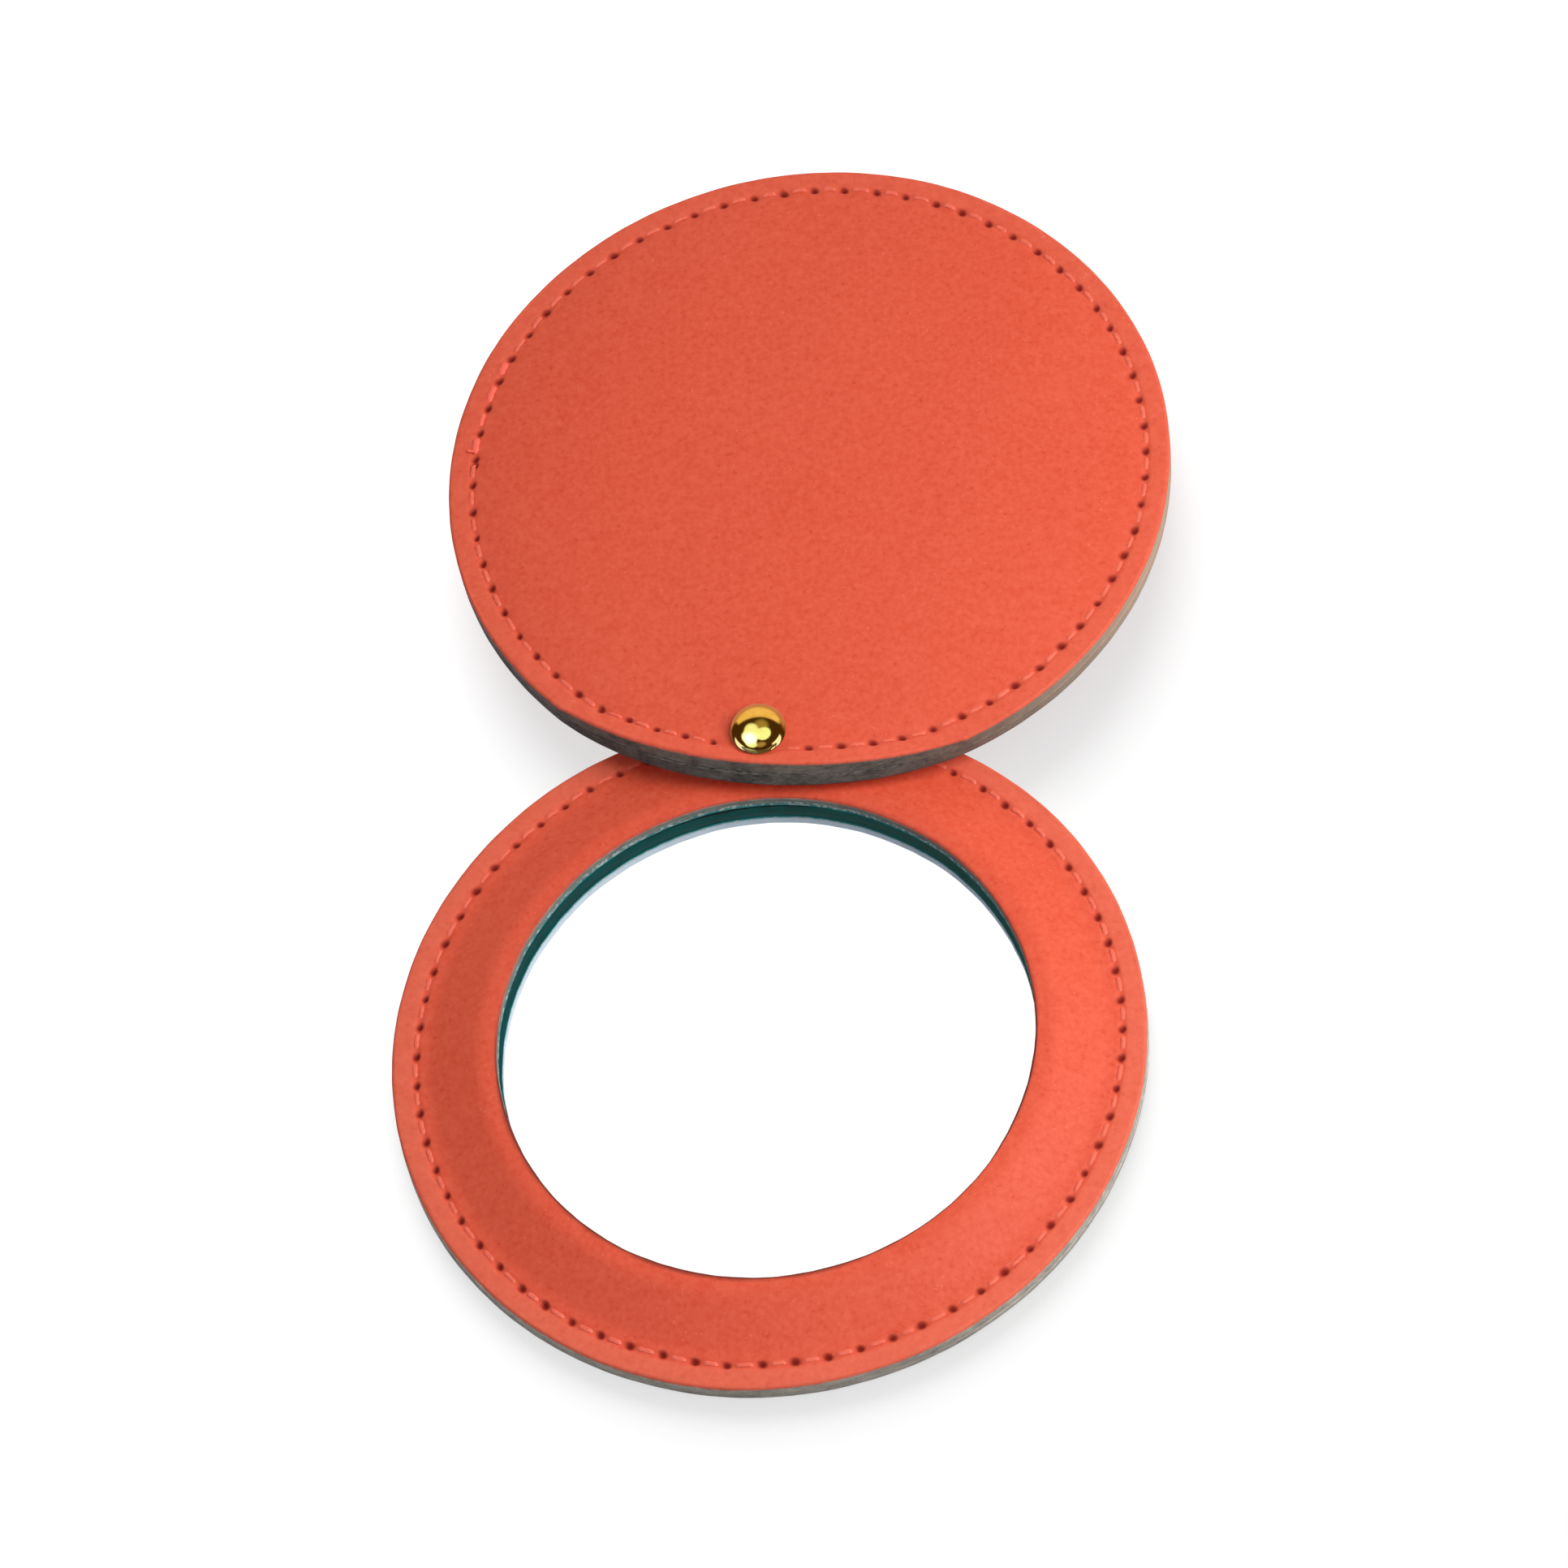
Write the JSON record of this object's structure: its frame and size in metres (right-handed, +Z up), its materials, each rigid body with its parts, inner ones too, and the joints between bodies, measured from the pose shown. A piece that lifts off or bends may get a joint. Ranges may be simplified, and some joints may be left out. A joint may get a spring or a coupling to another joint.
{
  "type": "pocket mirror",
  "caption": "Round leather pocket mirror: a framed glass mirror leaf and a stitched cover leaf that swivels over it on a domed rivet.",
  "frame": {"origin": "centre of the mirror leaf's flat back face", "axes": "+Z up out of the mirror, +Y from the mirror's centre to the rivet"},
  "size_m": [0.0855, 0.1485, 0.0108],
  "materials": {
    "back_leather": "smooth coral leather with a raw grey cut edge",
    "silvered_glass": "polished glass with a silvered back",
    "ring_leather": "smooth coral leather with a raw grey cut edge",
    "rivet_post_metal": "polished gold plate",
    "rivet_cap_metal": "polished gold plate",
    "lining_leather": "smooth coral leather with a raw grey cut edge",
    "board": "pressed grey board",
    "cover_leather": "smooth coral leather with a raw grey cut edge"
  },
  "bodies": {
    "mirror_leaf": {"mirror_back_leather": "back_leather", "mirror_glass": "silvered_glass", "mirror_front_ring": "ring_leather", "rivet_post": "rivet_post_metal", "rivet_cap": "rivet_cap_metal"},
    "cover_leaf": {"cover_back_leather": "lining_leather", "cover_stiffener": "board", "cover_front_leather": "cover_leather"}
  },
  "joints": [
    {"name": "cover_swivel", "type": "hinge", "parent": "mirror_leaf", "child": "cover_leaf", "pos_m": [0, 0.0345, 0], "axis": [0, 0, 1], "continuous": true}
  ]
}
